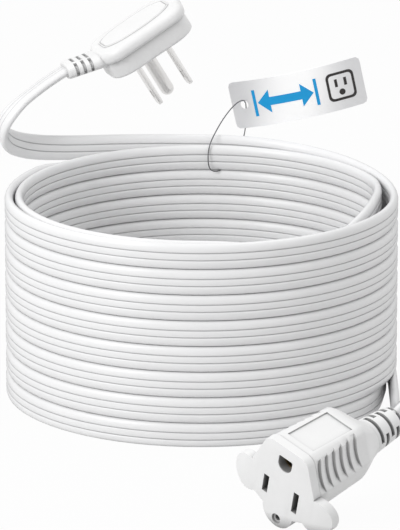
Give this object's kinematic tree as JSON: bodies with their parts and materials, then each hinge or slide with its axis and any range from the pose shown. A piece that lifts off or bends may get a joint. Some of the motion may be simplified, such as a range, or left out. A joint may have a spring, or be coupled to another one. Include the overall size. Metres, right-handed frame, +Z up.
{
  "type": "extension cord",
  "caption": "Flat white indoor extension cord wound on edge into a round coil, with a low-profile grounded plug, a winged grounded connector and a small hang tag.",
  "frame": {"origin": "centre of the whole part's box, on the surface that the coil stands on", "axes": "+Z up along the coil's axis; -Y towards the viewer, on the side where the connector lies; +X to the right"},
  "size_m": [0.1385, 0.2505, 0.1211],
  "materials": {
    "cord_jacket": "glossy white PVC",
    "moulded_white": "satin white PVC",
    "nickel_plate": "bright nickel plate",
    "brass_contact": "plain rolled brass",
    "core_black": "black core insulation",
    "core_white": "white core insulation",
    "core_green": "green core insulation",
    "tag_card": "coated card, printed",
    "tag_wire": "dark thin wire"
  },
  "bodies": {
    "cord": {"coil": "cord_jacket", "plug_lead": "cord_jacket", "connector_lead": "cord_jacket", "plug_head": "moulded_white", "plug_block": "moulded_white", "plug_strain_relief": "moulded_white", "plug_hot_blade": "nickel_plate", "plug_neutral_blade": "nickel_plate", "plug_ground_pin": "nickel_plate", "plug_hot_core": "core_black", "plug_neutral_core": "core_white", "plug_ground_core": "core_green", "connector_face": "moulded_white", "connector_body": "moulded_white", "connector_strain_relief": "moulded_white", "hot_contact": "brass_contact", "neutral_contact": "brass_contact", "ground_contact": "brass_contact", "connector_hot_core": "core_black", "connector_neutral_core": "core_white", "connector_ground_core": "core_green", "tag_wire": "tag_wire"},
    "hang_tag": {"tag": "tag_card"}
  },
  "joints": [
    {"name": "tag_swing", "type": "hinge", "parent": "cord", "child": "hang_tag", "pos_m": [0.0164, 0.1155, 0.0819], "axis": [0, 1, 0], "range_deg": [-10, 40]}
  ]
}
